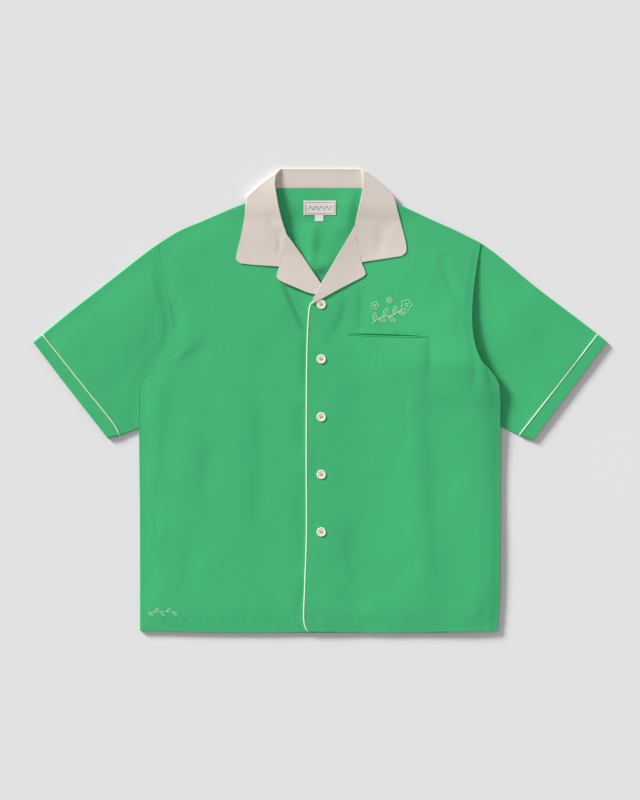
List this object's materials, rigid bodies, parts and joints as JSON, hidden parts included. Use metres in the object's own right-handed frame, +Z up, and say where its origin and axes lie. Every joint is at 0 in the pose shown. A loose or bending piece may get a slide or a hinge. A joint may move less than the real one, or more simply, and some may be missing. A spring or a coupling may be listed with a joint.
{
  "type": "bowling shirt",
  "caption": "Short-sleeved bowling shirt laid flat, with a contrast camp collar and lapels, corded front edge and sleeve seams, welt pocket and button front.",
  "frame": {"origin": "on the surface that the shirt lies on, under the middle of its outline", "axes": "+X from the wearer's right to the wearer's left, +Y from hem to collar, +Z up from the surface, out of the shirt's front"},
  "size_m": [0.9184, 0.7432, 0.0102],
  "materials": {
    "shirt_cloth": "matte poplin",
    "cuff_cloth": "matte poplin",
    "collar_cloth": "matte poplin",
    "piping_cord": "satin cord",
    "label_tape": "woven tape",
    "button_resin": "polished resin"
  },
  "bodies": {
    "root": {"back": "shirt_cloth", "front_left": "shirt_cloth", "front_right": "shirt_cloth", "sleeve_left": "shirt_cloth", "sleeve_right": "shirt_cloth", "cuff_left": "cuff_cloth", "cuff_right": "cuff_cloth", "collar": "collar_cloth", "lapel_left": "collar_cloth", "lapel_right": "collar_cloth", "piping_front": "piping_cord", "piping_sleeve_left": "piping_cord", "piping_sleeve_right": "piping_cord", "pocket_welt_upper": "shirt_cloth", "pocket_welt_lower": "shirt_cloth", "label_neck": "label_tape", "label_size": "label_tape", "button_1": "button_resin", "button_2": "button_resin", "button_3": "button_resin", "button_4": "button_resin", "button_5": "button_resin"}
  },
  "joints": []
}
